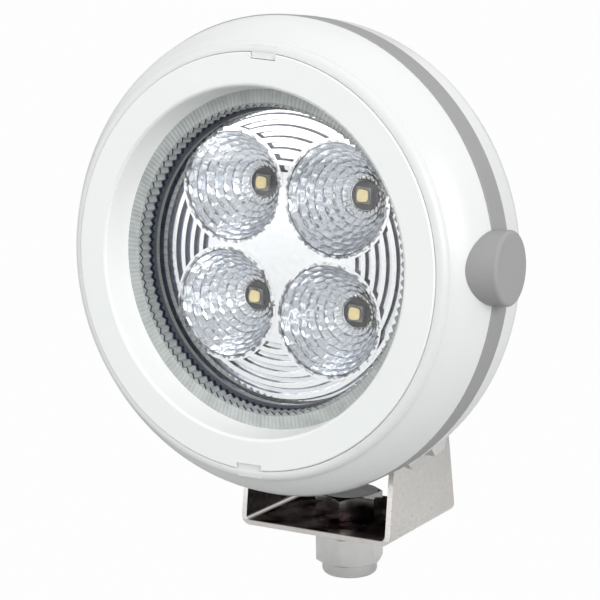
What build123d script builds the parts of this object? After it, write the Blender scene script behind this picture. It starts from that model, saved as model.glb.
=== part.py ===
from build123d import *
import math
import os

# Round LED floodlight on a stainless steel U bracket, for decks and cabins of boats.
# Millimetres, +Z up. The origin is on the mounting bolt's axis, on the underside of the bracket.
# The lamp looks along -Y. A depth is measured back from the lamp's flat face, along +Y.

# Bracket
bracket_width = 46.8
bracket_depth = 39.6
bracket_sheet = 1.5
bend_radius = 1.2
ear_crown_radius = 12.0
ear_corner_y = 11.0
ear_corner_height = 27.5
ear_corner_radius = 4.2

# Tilt pivot
pivot_y = -4.0
pivot_height = 28.0
pivot_bolt_radius = 3.0
pivot_bolt_length = 16.0
pivot_head_flats = 10.0
pivot_head_height = 4.0
flat_washer_radius = 10.0
flat_washer_sheet = 1.0
spring_washer_radius = 5.9
spring_washer_sheet = 1.5
washer_split = 1.0
washer_skew = 25.0
running_fit = 0.08
side_gap = 0.06
thread_fit = 0.02
blind_end = 1.0
lug_radius = 9.6

# Mounting bolt and its nut
bolt_radius = 5.0
bolt_head_flats = 17.0
bolt_head_height = 6.4
bolt_head_turn = 44.0
mount_washer_radius = 10.0
mount_washer_sheet = 2.0
mount_spring_radius = 9.0
mount_spring_sheet = 2.2
nut_hex_height = 8.0
nut_collar_height = 3.5
nut_collar_radius = 7.8
nylon_ring_height = 2.3
nylon_ring_radius = 6.8
bolt_end_past_nut = 0.4
head_chamfer_angle = 30.0

# Lamp head, outside
drum_clearance = 16.2
lens_rim_radius = 45.9
opening_lip = 2.0
bezel_land = 6.0
face_sheet = 2.2
face_seam = 0.15
face_round = 0.8
rim_width = 2.7
rim_nose_depth = 2.6
rim_nose_start = 0.5
flare_rise = 6.3
flare_bulge = 0.55
recess_depth = 9.0
recess_draft = 0.7
front_depth = 12.8
band_width = 8.6
band_stand_off = 0.3
band_seat_depth = 1.6
rear_depth = 11.0
rear_corner_radius = 5.0
shell_wall = 2.4
shell_joint = 0.1
root = 0.5
notch_width = 7.4
notch_depth = 1.8
top_key_turn = -6.8

# Side cap over the band
cap_radius = 9.0
cap_stand_out = 4.0
cap_depth = 14.0
cap_rise = 1.0
cap_spigot_depth = 16.6
cap_spigot_radius = 4.0
cap_edge = 0.9
cap_seat_gap = 0.08
cap_root = 2.5
cap_sink = 8.0
cap_seat_overlap = 1.0

# Lens
lens_flange = 2.6
flange_clear_width = 6.3
flute_count = 112
flute_height = 0.9
dish_depth = 5.5
window_sheet = 2.2
skirt_wall = 1.6
gasket_width = 2.4
gasket_sheet = 1.0

# Reflector and light source
reflector_sheet = 1.2
ridge_count = 6
ridge_depth = 1.1
ridge_draft = 0.25
cup_web = 1.3
cup_lip = 0.12
cup_turn = -5.0
cup_throat_radius = 3.9
cup_depth = 15.0
optic_gap = 0.3
board_sheet = 1.6
board_edge_gap = 1.3
led_base_margin = 0.1
led_base_height = 1.0
led_dome_wall = 0.3
led_chip = 2.4
led_chip_height = 0.2
chip_gap = 0.05
pad_sheet = 0.5
board_screw_radius = 1.5
board_screw_head = 2.75
board_screw_head_height = 1.8

# Lamp housing, cast with its fins and its pivot lug
housing_step = 0.4
sleeve_fit = 0.3
sleeve_wall = 2.2
housing_wall = 3.4
housing_floor = 5.0
flange_edge_gap = 2.5
flange_sheet = 3.0
flange_depth = 24.2
fin_ring_step = 10.3
hub_height = 13.0
driver_wall = 4.0
driver_pocket_depth = 13.5
driver_ledge = 1.6
driver_board_drop = 7.0
fin_height = 13.0
fin_sheet = 2.2
fin_count = 11
web_half_width = 11.0
web_thickness = 10.0
web_set_in = 0.1

# Driver parts, placed from the lamp's axis
header_pitch = 5.0
header_drop = 8.0
pin_radius = 0.5
pin_slot = 2.4
driver_play = 0.5
coil_radius = 6.0
coil_hole = 2.6
coil_height = 5.0
coil_round = 1.2
capacitor_radius = 3.1
capacitor_height = 5.4
capacitor_spots = ((0.38, 0.43), (0.65, 0.03))
driver_chip_width = 4.4
driver_chip_depth = 3.8
driver_chip_height = 1.5
chip_spots = ((0.2, -0.7), (-0.6, -0.27), (0.05, 0.03))
terminal_depth = 6.6
terminal_height = 4.2
terminal_entry = 1.6

# Housing screws
housing_screw_radius = 1.75
housing_screw_head = 3.2
housing_screw_head_height = 2.4
housing_screw_length = 20.0
screw_boss_radius = 3.5
screw_tube_radius = 4.8
screw_clearance = 0.2
hex_socket_radius = 1.45
hex_socket_depth = 1.4

# Cable gland
gland_neck_radius = 6.0
gland_flats = 16.0
gland_hex_height = 5.0
gland_cap_radius = 7.6
gland_cap_height = 9.0
cord_hole_radius = 3.6
gland_seal_wall = 1.2
gland_seal_height = 4.6
gland_seal_gap = 0.05
gland_seat_depth = 2.5
gland_thread_height = 3.0
gland_cap_round = 2.4

# Radii that follow from the lens and the gaps around it
housing_radius = lens_rim_radius + housing_step
sleeve_radius = housing_radius + sleeve_fit
opening_radius = lens_rim_radius - opening_lip
face_radius = housing_radius + bezel_land
rim_radius = face_radius + rim_width
drum_radius = rim_radius + flare_rise
seat_radius = drum_radius - band_seat_depth
rear_wall_radius = drum_radius - rear_corner_radius
flange_radius = drum_radius - shell_wall - flange_edge_gap
housing_screw_ring = sleeve_radius + sleeve_wall + screw_boss_radius - 0.2 * root
reflector_radius = lens_rim_radius - flange_clear_width
flute_outer_radius = reflector_radius
ridge_width = reflector_radius * 29 / 396
ridge_crest = ridge_width * 12 / 29
cup_rise = reflector_radius * 5 / 132
cup_mouth_radius = 0.3586 * reflector_radius
cup_ring = (cup_mouth_radius + cup_web) * math.sqrt(2)
board_radius = housing_radius - housing_wall - board_edge_gap
board_screw_ring = 0.757 * reflector_radius
led_dome_radius = led_chip / math.sqrt(2) + led_dome_wall
led_base = 2 * (led_dome_radius + led_base_margin)
heat_sink_radius = housing_radius - fin_ring_step
fin_pitch = 0.178 * heat_sink_radius
hub_radius = 0.64 * heat_sink_radius
driver_pocket_radius = hub_radius - driver_wall
driver_radius = driver_pocket_radius - driver_play
terminal_width = 0.54 * driver_radius
terminal_drop = 0.58 * driver_radius

# Depths behind the lamp's face
band_depth = front_depth + band_width
band_middle = front_depth + band_width / 2
rear_back_depth = band_depth + rear_depth
rear_arc_depth = rear_back_depth - rear_corner_radius
flare_mid_depth = 0.52 * front_depth
flare_mid_radius = (rim_radius + drum_radius) / 2 + flare_bulge
window_front_depth = recess_depth + dish_depth
window_back_depth = window_front_depth + window_sheet
gasket_depth = recess_depth + lens_flange
housing_front_depth = gasket_depth + gasket_sheet
reflector_depth = window_back_depth + optic_gap
board_depth = reflector_depth + cup_depth + optic_gap
pad_depth = board_depth + board_sheet
floor_depth = pad_depth + pad_sheet
floor_back_depth = floor_depth + housing_floor
hub_back_depth = floor_back_depth + hub_height

# Places
axis_height = drum_clearance + drum_radius
face_y = pivot_y - (hub_back_depth - web_thickness / 2 - web_set_in)
ear_outer = bracket_width / 2
ear_inner = ear_outer - bracket_sheet
lug_half = ear_inner - side_gap
head_stack = bracket_sheet + 2 * side_gap + flat_washer_sheet + spring_washer_sheet - blind_end
cap_hole_start = sleeve_radius + shell_wall + cap_root
cap_hole_run = drum_radius + cap_stand_out - cap_hole_start
lamp_axis = Axis((0, face_y, axis_height), (0, 1, 0))
profile_plane = Plane(origin=(0, face_y, axis_height), x_dir=(0, 1, 0), z_dir=(1, 0, 0))


def facing(depth):
    """Plane square to the lamp's axis at a depth, X to the right and Y up, facing forward."""
    return Plane(origin=(0, face_y + depth, axis_height), x_dir=(1, 0, 0), z_dir=(0, -1, 0))


def backward(depth):
    """Plane square to the lamp's axis at a depth, facing to the rear."""
    return Plane(origin=(0, face_y + depth, axis_height), x_dir=(-1, 0, 0), z_dir=(0, 1, 0))


def profile_at(x, z, depth):
    """Half-section plane of a small round part beside the lamp's axis."""
    return Plane(origin=(x, face_y + depth, axis_height + z), x_dir=(0, 1, 0), z_dir=(1, 0, 0))


def side_plane(x):
    """Plane square to X, with Y to the rear and Z up."""
    return Plane(origin=(x, 0, 0), x_dir=(0, 1, 0), z_dir=(1, 0, 0))


def hex_radius(flats):
    """Corner radius of a hexagon from the width across its flats."""
    return flats / math.sqrt(3)


def chamfer_wedge(flats, end, way):
    """Corners of the section that turns a hexagon's sharp end into a cone, as (along, across)."""
    start = flats / 2 - 0.03 * flats / 2
    outside = hex_radius(flats) + 1
    drop = (outside - start) * math.tan(math.radians(head_chamfer_angle))
    return [(end, start), (end, outside), (end - way * drop, outside)]


def save(name, part):
    part.label = name
    export_step(part, f"parts/{name}.step")


os.makedirs("parts", exist_ok=True)


# Front plate with the sunk opening, two key notches in its edge
with BuildPart() as bezel_ring:
    with BuildSketch(profile_plane):
        with BuildLine():
            Polyline(
                (face_round, opening_radius),
                (recess_depth, opening_radius - recess_draft),
                (recess_depth, sleeve_radius - sleeve_fit),
                (face_sheet, sleeve_radius - sleeve_fit),
                (face_sheet, face_radius - face_seam),
                (0.3, face_radius - face_seam),
                (0, face_radius - face_seam - 0.3),
                (0, opening_radius + face_round),
            )
            ThreePointArc(
                (0, opening_radius + face_round),
                (0.3 * face_round, opening_radius + 0.3 * face_round),
                (face_round, opening_radius),
            )
        make_face()
    revolve(axis=lamp_axis)
    for turn in (180, top_key_turn):
        with BuildSketch(facing(-1)):
            with PolarLocations(face_radius, 1, start_angle=90 + turn):
                Rectangle(2 * notch_depth, notch_width)
        extrude(amount=-(face_sheet + 2), mode=Mode.SUBTRACT)
save("bezel_ring", bezel_ring.part)


# White front shell: rim nose, flared drum, ledge for the bezel, sleeve over the housing
ledge_back = face_sheet + shell_wall
with BuildPart() as front_shell:
    with BuildSketch(profile_plane):
        with BuildLine():
            Line((face_sheet + face_seam, face_radius), (rim_nose_start, face_radius))
            ThreePointArc(
                (rim_nose_start, face_radius),
                (rim_nose_start + 0.1 * rim_nose_depth, rim_radius - 0.37 * (rim_radius - face_radius)),
                (rim_nose_depth, rim_radius),
            )
            ThreePointArc(
                (rim_nose_depth, rim_radius),
                (flare_mid_depth, flare_mid_radius),
                (front_depth, drum_radius),
            )
            Polyline(
                (front_depth, drum_radius),
                (front_depth, seat_radius),
                (band_middle - shell_joint, seat_radius),
                (band_middle - shell_joint, seat_radius - shell_wall),
                (front_depth, seat_radius - shell_wall),
                (ledge_back, rim_radius - shell_wall),
                (ledge_back, sleeve_radius + sleeve_wall),
                (flange_depth - shell_joint, sleeve_radius + sleeve_wall),
                (flange_depth - shell_joint, sleeve_radius),
                (face_sheet + face_seam, sleeve_radius),
                (face_sheet + face_seam, face_radius),
            )
        make_face()
    revolve(axis=lamp_axis)
    with BuildSketch(facing(ledge_back - root)):
        with PolarLocations(housing_screw_ring, 4, start_angle=45):
            Circle(screw_boss_radius)
    extrude(amount=-(flange_depth - shell_joint - ledge_back + root))
    for turn in (180, top_key_turn):
        with BuildSketch(facing(rim_nose_start + shell_joint)):
            with PolarLocations(face_radius, 1, start_angle=90 + turn):
                Rectangle(2 * (notch_depth - face_seam), notch_width - 2 * face_seam)
        extrude(amount=-(face_sheet + face_seam - rim_nose_start + shell_joint))
    with BuildSketch(facing(flange_depth)):
        with PolarLocations(housing_screw_ring, 4, start_angle=45):
            Circle(housing_screw_radius + thread_fit)
    extrude(amount=flange_depth - ledge_back, mode=Mode.SUBTRACT)
    with BuildSketch(side_plane(cap_hole_start)):
        with Locations((face_y + cap_spigot_depth, axis_height)):
            Circle(cap_spigot_radius + screw_clearance)
    extrude(amount=cap_hole_run, mode=Mode.SUBTRACT)
save("front_shell", front_shell.part)


# White rear shell: rounded back, four screw tubes
arc_inset = rear_corner_radius * (1 - math.sqrt(0.5))
inner_corner_radius = rear_corner_radius - shell_wall
inner_arc_inset = inner_corner_radius * (1 - math.sqrt(0.5))
with BuildPart() as rear_shell:
    with BuildSketch(profile_plane):
        with BuildLine():
            Polyline((band_depth, seat_radius), (band_depth, drum_radius), (rear_arc_depth, drum_radius))
            ThreePointArc(
                (rear_arc_depth, drum_radius),
                (rear_back_depth - arc_inset, drum_radius - arc_inset),
                (rear_back_depth, rear_wall_radius),
            )
            Polyline(
                (rear_back_depth, rear_wall_radius),
                (rear_back_depth, sleeve_radius),
                (rear_back_depth - shell_wall, sleeve_radius),
                (rear_back_depth - shell_wall, rear_wall_radius),
            )
            ThreePointArc(
                (rear_back_depth - shell_wall, rear_wall_radius),
                (rear_back_depth - shell_wall - inner_arc_inset, drum_radius - shell_wall - inner_arc_inset),
                (rear_arc_depth, drum_radius - shell_wall),
            )
            Polyline(
                (rear_arc_depth, drum_radius - shell_wall),
                (band_depth + 1.6, seat_radius - shell_wall),
                (band_middle + shell_joint, seat_radius - shell_wall),
                (band_middle + shell_joint, seat_radius),
                (band_depth, seat_radius),
            )
        make_face()
    revolve(axis=lamp_axis)
    with BuildSketch(facing(flange_depth + flange_sheet + shell_joint)):
        with PolarLocations(housing_screw_ring, 4, start_angle=45):
            Circle(screw_tube_radius)
    extrude(amount=-(rear_back_depth - flange_depth - flange_sheet - 2 * root))
    with Locations(backward(rear_back_depth)):
        with PolarLocations(housing_screw_ring, 4, start_angle=45):
            CounterBoreHole(
                radius=housing_screw_radius + screw_clearance,
                counter_bore_radius=housing_screw_head + screw_clearance,
                counter_bore_depth=housing_screw_head_height,
                depth=rear_back_depth - flange_depth,
            )
    with BuildSketch(side_plane(cap_hole_start)):
        with Locations((face_y + cap_spigot_depth, axis_height)):
            Circle(cap_spigot_radius + screw_clearance)
    extrude(amount=cap_hole_run, mode=Mode.SUBTRACT)
save("rear_shell", rear_shell.part)


# Grey band between the shells
with BuildPart() as trim_band:
    with BuildSketch(profile_plane):
        with BuildLine():
            Polyline(
                (front_depth + shell_joint, seat_radius + shell_joint),
                (band_depth - shell_joint, seat_radius + shell_joint),
                (band_depth - shell_joint, drum_radius),
                (band_depth - shell_joint - band_stand_off, drum_radius + band_stand_off),
                (front_depth + shell_joint + band_stand_off, drum_radius + band_stand_off),
                (front_depth + shell_joint, drum_radius),
                close=True,
            )
        make_face()
    revolve(axis=lamp_axis)
    with BuildSketch(side_plane(cap_hole_start)):
        with Locations((face_y + cap_spigot_depth, axis_height)):
            Circle(cap_spigot_radius + screw_clearance)
    extrude(amount=cap_hole_run, mode=Mode.SUBTRACT)
save("trim_band", trim_band.part)


# Round side cap, hollowed underneath to sit on the drum, with a spigot
with BuildPart() as side_cap:
    with BuildSketch(side_plane(drum_radius - cap_sink)):
        with Locations((face_y + cap_depth, axis_height + cap_rise)):
            Circle(cap_radius)
    extrude(amount=cap_sink + cap_stand_out)
    fillet(side_cap.faces().sort_by(Axis.X)[-1].edges(), cap_edge)
    with BuildSketch(profile_plane):
        with BuildLine():
            gap = cap_seat_gap
            Polyline((-1, 0), (-1, rim_radius + gap), (rim_nose_depth, rim_radius + gap))
            ThreePointArc(
                (rim_nose_depth, rim_radius + gap),
                (flare_mid_depth, flare_mid_radius + gap),
                (front_depth, drum_radius + gap),
            )
            Polyline(
                (front_depth, drum_radius + gap),
                (front_depth, drum_radius + band_stand_off + gap),
                (band_depth, drum_radius + band_stand_off + gap),
                (band_depth, drum_radius + gap),
                (rear_arc_depth, drum_radius + gap),
            )
            ThreePointArc(
                (rear_arc_depth, drum_radius + gap),
                (rear_back_depth - arc_inset + gap, drum_radius - arc_inset + gap),
                (rear_back_depth + gap, rear_wall_radius),
            )
            Polyline((rear_back_depth + gap, rear_wall_radius), (rear_back_depth + gap, 0), (-1, 0))
        make_face()
    revolve(axis=lamp_axis, mode=Mode.SUBTRACT)
    with BuildSketch(side_plane(seat_radius - shell_wall - cap_seat_overlap)):
        with Locations((face_y + cap_spigot_depth, axis_height)):
            Circle(cap_spigot_radius)
    extrude(amount=band_seat_depth + shell_wall + cap_root)
save("side_cap", side_cap.part)


# Clear lens: clamped flange, fluted wall down to the flat window
flute_points = []
for index in range(2 * flute_count):
    angle = math.pi * index / flute_count
    radius = flute_outer_radius - flute_height * (index % 2)
    flute_points.append((radius * math.cos(angle), radius * math.sin(angle)))
with BuildPart() as lens:
    with BuildSketch(facing(recess_depth)):
        Circle(lens_rim_radius)
    extrude(amount=-lens_flange)
    with BuildSketch(facing(recess_depth + lens_flange - root)):
        Circle(flute_outer_radius + skirt_wall)
    extrude(amount=-(window_back_depth - recess_depth - lens_flange + root))
    with BuildSketch(facing(recess_depth)):
        with BuildLine():
            Polyline(*flute_points, close=True)
        make_face()
    extrude(amount=-dish_depth, mode=Mode.SUBTRACT)
save("lens", lens.part)


with BuildPart() as lens_gasket:
    with BuildSketch(facing(gasket_depth)):
        Circle(lens_rim_radius)
        Circle(lens_rim_radius - gasket_width, mode=Mode.SUBTRACT)
    extrude(amount=-gasket_sheet)
save("lens_gasket", lens_gasket.part)


# Reflector: ridged dish between four parabolic cups, and the wall that stands on the board
def cup_profile(growth, overrun):
    """Parabola of a cup, grown outwards and run on past both ends, closed on the cup's own axis."""
    mouth = cup_mouth_radius + growth
    throat = cup_throat_radius + growth
    front = -overrun
    back = cup_depth + overrun
    control = (cup_depth * mouth / (mouth + throat), (mouth + throat) / 2)
    Bezier((0, mouth), control, (cup_depth, throat))
    Polyline((cup_depth, throat), (back, throat), (back, 0), (front, 0), (front, mouth), (0, mouth))


cup_centres = []
for index in range(4):
    angle = math.radians(45 + 90 * index + cup_turn)
    cup_centres.append((cup_ring * math.cos(angle), cup_ring * math.sin(angle) + cup_rise))

with BuildPart() as reflector:
    with BuildSketch(profile_plane):
        with BuildLine():
            groove_depth = reflector_depth + ridge_depth
            plate_back = groove_depth + reflector_sheet
            front = []
            for index in range(ridge_count):
                radius = reflector_radius - index * ridge_width
                front.append((reflector_depth, radius))
                front.append((reflector_depth, radius - ridge_crest))
                front.append((groove_depth, radius - ridge_crest - ridge_draft))
                front.append((groove_depth, radius - ridge_width + 2 * ridge_draft))
            front.append((reflector_depth, reflector_radius - ridge_count * ridge_width))
            front.append((reflector_depth, 0))
            back = [(plate_back, 0), (plate_back, reflector_radius - reflector_sheet)]
            back.append((board_depth - shell_joint, reflector_radius - reflector_sheet))
            back.append((board_depth - shell_joint, reflector_radius))
            Polyline(*front, *back, close=True)
        make_face()
    revolve(axis=lamp_axis)
    for x, z in cup_centres:
        cup_plane = profile_at(x, z, reflector_depth)
        with BuildSketch(cup_plane):
            with BuildLine():
                cup_profile(reflector_sheet, cup_lip)
            make_face()
        revolve(axis=Axis(cup_plane.origin, (0, 1, 0)))
    for x, z in cup_centres:
        cup_plane = profile_at(x, z, reflector_depth)
        with BuildSketch(cup_plane):
            with BuildLine():
                cup_profile(0, cup_lip + root)
            make_face()
        revolve(axis=Axis(cup_plane.origin, (0, 1, 0)), mode=Mode.SUBTRACT)
save("reflector", reflector.part)


# Board with its four light sources, and the pad under it
with BuildPart() as led_board:
    with BuildSketch(facing(board_depth)):
        Circle(board_radius)
        with PolarLocations(board_screw_ring, 4, start_angle=cup_turn):
            Circle(board_screw_radius + screw_clearance, mode=Mode.SUBTRACT)
    extrude(amount=-board_sheet)
save("led_board", led_board.part)

led_front = board_depth - led_base_height
with BuildPart() as led_bases:
    with BuildSketch(facing(board_depth)):
        with Locations(*cup_centres):
            Rectangle(led_base, led_base, rotation=cup_turn)
    extrude(amount=led_base_height)
save("led_bases", led_bases.part)

with BuildPart() as led_chips:
    with BuildSketch(facing(led_front)):
        with Locations(*cup_centres):
            Rectangle(led_chip, led_chip, rotation=cup_turn)
    extrude(amount=led_chip_height)
save("led_chips", led_chips.part)

with BuildPart() as led_domes:
    for x, z in cup_centres:
        dome_plane = profile_at(x, z, led_front)
        with BuildSketch(dome_plane):
            with BuildLine():
                CenterArc((0, 0), led_dome_radius, 90, 90)
                Polyline((-led_dome_radius, 0), (0, 0), (0, led_dome_radius))
            make_face()
        revolve(axis=Axis(dome_plane.origin, (0, 1, 0)))
    with BuildSketch(facing(led_front)):
        with Locations(*cup_centres):
            Rectangle(led_chip + 2 * chip_gap, led_chip + 2 * chip_gap, rotation=cup_turn)
    extrude(amount=led_chip_height + chip_gap, mode=Mode.SUBTRACT)
save("led_domes", led_domes.part)

with BuildPart() as board_screws:
    with BuildSketch(facing(board_depth)):
        with PolarLocations(board_screw_ring, 4, start_angle=cup_turn):
            Circle(board_screw_head)
    extrude(amount=board_screw_head_height)
    with BuildSketch(facing(board_depth)):
        with PolarLocations(board_screw_ring, 4, start_angle=cup_turn):
            Circle(board_screw_radius)
    extrude(amount=-(board_sheet + pad_sheet + housing_floor - blind_end))
save("board_screws", board_screws.part)

with BuildPart() as thermal_pad:
    with BuildSketch(facing(pad_depth)):
        Circle(board_radius - blind_end)
        with PolarLocations(board_screw_ring, 4, start_angle=cup_turn):
            Circle(board_screw_radius + screw_clearance, mode=Mode.SUBTRACT)
        with Locations((0, -header_drop)):
            SlotCenterToCenter(header_pitch, pin_slot, mode=Mode.SUBTRACT)
    extrude(amount=-pad_sheet)
save("thermal_pad", thermal_pad.part)


# Cast housing: cup, flange, finned back, driver pocket, web and pivot lug
lug_drop = axis_height - pivot_height
with BuildPart() as lamp_housing:
    with BuildSketch(profile_plane):
        with BuildLine():
            Polyline(
                (housing_front_depth, housing_radius - housing_wall),
                (housing_front_depth, housing_radius),
                (flange_depth, housing_radius),
                (flange_depth, flange_radius),
                (flange_depth + flange_sheet, flange_radius),
                (flange_depth + flange_sheet, housing_radius),
                (rear_back_depth, housing_radius),
                (floor_back_depth, heat_sink_radius),
                (floor_back_depth, 0),
                (floor_depth, 0),
                (floor_depth, housing_radius - housing_wall),
                close=True,
            )
        make_face()
    revolve(axis=lamp_axis)
    with BuildSketch(facing(floor_back_depth)):
        with GridLocations(fin_pitch, 1, fin_count, 1):
            Rectangle(fin_sheet, 2 * heat_sink_radius)
        Circle(heat_sink_radius, mode=Mode.INTERSECT)
    extrude(amount=-fin_height)
    with BuildSketch(facing(floor_back_depth)):
        Circle(hub_radius)
    extrude(amount=-hub_height)
    with BuildSketch(side_plane(-lug_half)):
        with Locations((pivot_y, pivot_height)):
            Circle(lug_radius)
    extrude(amount=2 * lug_half)
    with BuildSketch(side_plane(-web_half_width)):
        with Locations((pivot_y, pivot_height + (lug_drop - hub_radius / 2) / 2)):
            Rectangle(web_thickness, lug_drop - hub_radius / 2)
    extrude(amount=2 * web_half_width)
    with BuildSketch(facing(floor_depth)):
        Circle(driver_pocket_radius)
    extrude(amount=-(driver_board_drop + board_sheet), mode=Mode.SUBTRACT)
    with BuildSketch(facing(floor_depth)):
        Circle(driver_pocket_radius - driver_ledge)
    extrude(amount=-driver_pocket_depth, mode=Mode.SUBTRACT)
    with BuildSketch(facing(hub_back_depth)):
        Circle(gland_neck_radius + thread_fit)
    extrude(amount=hub_height + housing_floor - driver_pocket_depth + root, mode=Mode.SUBTRACT)
    with BuildSketch(facing(floor_depth)):
        with PolarLocations(board_screw_ring, 4, start_angle=cup_turn):
            Circle(board_screw_radius + thread_fit)
    extrude(amount=-(housing_floor - 0.8 * blind_end), mode=Mode.SUBTRACT)
    with BuildSketch(facing(flange_depth)):
        with PolarLocations(housing_screw_ring, 4, start_angle=45):
            Circle(housing_screw_radius + screw_clearance)
    extrude(amount=-flange_sheet, mode=Mode.SUBTRACT)
    for side in (-1, 1):
        with BuildSketch(side_plane(side * lug_half)):
            with Locations((pivot_y, pivot_height)):
                Circle(pivot_bolt_radius + thread_fit)
        extrude(amount=-side * (pivot_bolt_length - head_stack), mode=Mode.SUBTRACT)
save("lamp_housing", lamp_housing.part)


# Driver in the pocket: board, coil, capacitors, chips, terminal block and link pins
driver_board_depth = floor_depth + driver_board_drop
with BuildPart() as driver_board:
    with BuildSketch(facing(driver_board_depth)):
        Circle(driver_radius)
    extrude(amount=-board_sheet)
save("driver_board", driver_board.part)

with BuildPart() as driver_coil:
    with BuildSketch(facing(driver_board_depth)):
        with Locations((-0.43 * driver_radius, 0.32 * driver_radius)):
            Circle(coil_radius)
            Circle(coil_hole, mode=Mode.SUBTRACT)
    extrude(amount=coil_height)
    fillet(driver_coil.edges().filter_by(GeomType.CIRCLE), coil_round)
save("driver_coil", driver_coil.part)

with BuildPart() as driver_capacitors:
    with BuildSketch(facing(driver_board_depth)):
        with Locations(*[(across * driver_radius, up * driver_radius) for across, up in capacitor_spots]):
            Circle(capacitor_radius)
    extrude(amount=capacitor_height)
    chamfer(driver_capacitors.faces().group_by(Axis.Y)[0].edges(), 0.13 * capacitor_radius)
save("driver_capacitors", driver_capacitors.part)

with BuildPart() as driver_chips:
    with BuildSketch(facing(driver_board_depth)):
        with Locations(*[(across * driver_radius, up * driver_radius) for across, up in chip_spots]):
            Rectangle(driver_chip_width, driver_chip_depth)
    extrude(amount=driver_chip_height)
save("driver_chips", driver_chips.part)

with BuildPart() as link_pins:
    with BuildSketch(facing(driver_board_depth)):
        with Locations((-header_pitch / 2, -header_drop), (header_pitch / 2, -header_drop)):
            Circle(pin_radius)
    extrude(amount=driver_board_depth - pad_depth)
save("link_pins", link_pins.part)

with BuildPart() as terminal_block:
    with BuildSketch(facing(driver_board_depth + board_sheet)):
        with Locations((0, -terminal_drop)):
            Rectangle(terminal_width, terminal_depth)
    extrude(amount=-terminal_height)
    with BuildSketch(facing(driver_board_depth + board_sheet + terminal_height)):
        with Locations((-terminal_width / 4, -terminal_drop), (terminal_width / 4, -terminal_drop)):
            Circle(terminal_entry)
    extrude(amount=0.6 * terminal_height, mode=Mode.SUBTRACT)
save("terminal_block", terminal_block.part)


# Screws that clamp the rear shell, the housing's flange and the front shell
with BuildPart() as housing_screws:
    with BuildSketch(facing(rear_back_depth)):
        with PolarLocations(housing_screw_ring, 4, start_angle=45):
            Circle(housing_screw_head)
    extrude(amount=housing_screw_head_height)
    with BuildSketch(facing(rear_back_depth)):
        with PolarLocations(housing_screw_ring, 4, start_angle=45):
            Circle(housing_screw_radius)
    extrude(amount=housing_screw_length)
    with BuildSketch(facing(rear_back_depth)):
        with PolarLocations(housing_screw_ring, 4, start_angle=45):
            RegularPolygon(hex_socket_radius, 6)
    extrude(amount=hex_socket_depth, mode=Mode.SUBTRACT)
save("housing_screws", housing_screws.part)


# Cable gland on the back of the hub: body, seal and cap
gland_hex_depth = hub_back_depth + gland_hex_height
gland_thread_end = gland_hex_depth + gland_thread_height
gland_seat = gland_thread_end - gland_seat_depth
gland_collar_depth = gland_seat + gland_seal_height + 2 * gland_seal_gap
gland_end = gland_hex_depth + gland_cap_height
hub_wall = hub_height + housing_floor - driver_pocket_depth
with BuildPart() as gland_body:
    with BuildSketch(facing(hub_back_depth)):
        RegularPolygon(hex_radius(gland_flats), 6)
    extrude(amount=-gland_hex_height)
    with BuildSketch(facing(hub_back_depth)):
        Circle(gland_neck_radius)
    extrude(amount=hub_wall)
    with BuildSketch(facing(gland_hex_depth)):
        Circle(gland_neck_radius)
    extrude(amount=-gland_thread_height)
    with BuildSketch(facing(gland_thread_end)):
        Circle(cord_hole_radius + gland_seal_wall)
    extrude(amount=gland_seat_depth, mode=Mode.SUBTRACT)
    with BuildSketch(facing(gland_thread_end)):
        Circle(cord_hole_radius + screw_clearance)
    extrude(amount=gland_thread_height + gland_hex_height + hub_wall, mode=Mode.SUBTRACT)
save("gland_body", gland_body.part)

with BuildPart() as gland_seal:
    with BuildSketch(facing(gland_seat + gland_seal_gap)):
        Circle(cord_hole_radius + gland_seal_wall - gland_seal_gap)
        Circle(cord_hole_radius, mode=Mode.SUBTRACT)
    extrude(amount=-gland_seal_height)
save("gland_seal", gland_seal.part)

with BuildPart() as gland_cap:
    with BuildSketch(profile_plane):
        with BuildLine():
            Polyline(
                (gland_hex_depth + shell_joint, gland_neck_radius + thread_fit),
                (gland_thread_end + shell_joint, gland_neck_radius + thread_fit),
                (gland_thread_end + shell_joint, cord_hole_radius + gland_seal_wall + gland_seal_gap),
                (gland_collar_depth, cord_hole_radius + gland_seal_wall + gland_seal_gap),
                (gland_collar_depth, cord_hole_radius),
                (gland_end, cord_hole_radius),
                (gland_end, gland_cap_radius - gland_cap_round),
            )
            ThreePointArc(
                (gland_end, gland_cap_radius - gland_cap_round),
                (gland_end - 0.3 * gland_cap_round, gland_cap_radius - 0.3 * gland_cap_round),
                (gland_end - gland_cap_round, gland_cap_radius),
            )
            Polyline(
                (gland_end - gland_cap_round, gland_cap_radius),
                (gland_hex_depth + shell_joint, gland_cap_radius),
                (gland_hex_depth + shell_joint, gland_neck_radius + thread_fit),
            )
        make_face()
    revolve(axis=lamp_axis)
save("gland_cap", gland_cap.part)


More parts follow.
